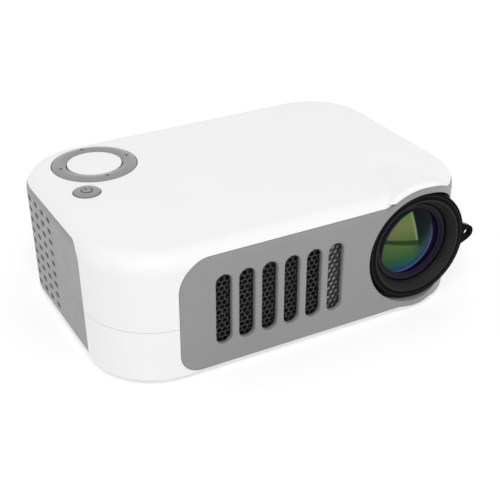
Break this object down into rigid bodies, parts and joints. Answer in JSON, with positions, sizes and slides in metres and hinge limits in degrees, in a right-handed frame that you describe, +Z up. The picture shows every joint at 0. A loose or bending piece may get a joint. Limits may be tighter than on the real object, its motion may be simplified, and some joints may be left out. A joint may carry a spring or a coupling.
{
  "type": "portable video projector",
  "caption": "Palm-size LED video projector with slotted front, turning focus ring, key ring on top and perforated sides.",
  "frame": {"origin": "middle of the footprint, on the table under the rubber feet", "axes": "+Z up, front with the lens faces -Y, +X towards the lens side"},
  "size_m": [0.142, 0.0994, 0.0503],
  "materials": {
    "white_case": "satin moulded",
    "grey_case": "fine moulded grain",
    "mesh_black": "black satin paint",
    "soft_pad": "soft matt",
    "ring_black": "polished black",
    "black_plastic": "satin black",
    "white_inner": "plain moulded",
    "steel": "plain",
    "aluminium": "extruded",
    "lens_glass": "coated, green and violet sheen",
    "clear_plate": "clear ribbed sheet",
    "panel_glass": "dark polished",
    "board_green": "solder mask",
    "brass": "turned"
  },
  "bodies": {
    "housing": {"top_shell": "white_case", "bottom_shell": "white_case", "front_panel": "grey_case", "side_band": "grey_case", "front_mesh": "mesh_black", "key_board": "board_green", "key_switches": "black_plastic", "snap_ring": "steel", "lens_mount": "white_inner", "light_box": "white_inner", "front_fresnel": "clear_plate", "lcd_panel": "panel_glass", "rear_fresnel": "clear_plate", "condenser": "lens_glass", "led_module": "aluminium", "heat_sink": "aluminium", "fan_frame": "black_plastic", "air_baffle": "white_inner", "main_board": "board_green", "board_chips": "black_plastic", "hdmi_port": "steel", "usb_port": "steel", "av_jack": "black_plastic", "dc_jack": "black_plastic", "ir_window": "panel_glass", "speaker": "black_plastic", "case_screws": "steel", "board_screws": "steel", "mount_screws": "steel", "rubber_feet": "soft_pad", "tripod_insert": "brass"},
    "focus_ring": {"focus_ring": "ring_black", "ring_bezel": "ring_black"},
    "lens_barrel": {"lens_barrel": "black_plastic", "front_lens": "lens_glass", "lens_spacer": "black_plastic", "rear_lens": "lens_glass", "lens_retainer": "black_plastic"},
    "key_pad": {"key_pad": "soft_pad"},
    "key_ring": {"key_ring": "grey_case"},
    "ok_button": {"ok_button": "white_case"},
    "power_button": {"power_button": "grey_case"},
    "fan_rotor": {"fan_rotor": "black_plastic"}
  },
  "joints": [
    {"name": "focus_turn", "type": "hinge", "parent": "housing", "child": "focus_ring", "pos_m": [0.046, -0.0478, 0.025], "axis": [0, 1, 0], "range_deg": [-40, 40]},
    {"name": "focus_slide", "type": "slide", "parent": "housing", "child": "lens_barrel", "axis": [0, 1, 0], "range_m": [-0.00201, 0.00201]},
    {"name": "key_tip_x", "type": "hinge", "parent": "housing", "child": "key_pad", "pos_m": [-0.0452, 0.02735, 0.0446], "axis": [1, 0, 0], "range_deg": [-1.2, 1.2], "stiffness_Nm_per_rad": 0.8},
    {"name": "key_tip_y", "type": "hinge", "parent": "key_pad", "child": "key_ring", "pos_m": [-0.0452, 0.02735, 0.0446], "axis": [0, 1, 0], "range_deg": [-1.2, 1.2], "stiffness_Nm_per_rad": 0.8},
    {"name": "ok_press", "type": "slide", "parent": "housing", "child": "ok_button", "axis": [0, 0, -1], "range_m": [0, 0.0005], "stiffness_N_per_m": 1500},
    {"name": "power_press", "type": "slide", "parent": "housing", "child": "power_button", "axis": [0, 0, -1], "range_m": [0, 0.0005], "stiffness_N_per_m": 1500},
    {"name": "fan_spin", "type": "hinge", "parent": "housing", "child": "fan_rotor", "pos_m": [-0.0111, -0.03895, 0.025], "axis": [0, 1, 0], "continuous": true}
  ],
  "couplings": [
    {"joint": "focus_slide", "follows": "focus_turn", "m_per_rad": 0.0028648}
  ]
}
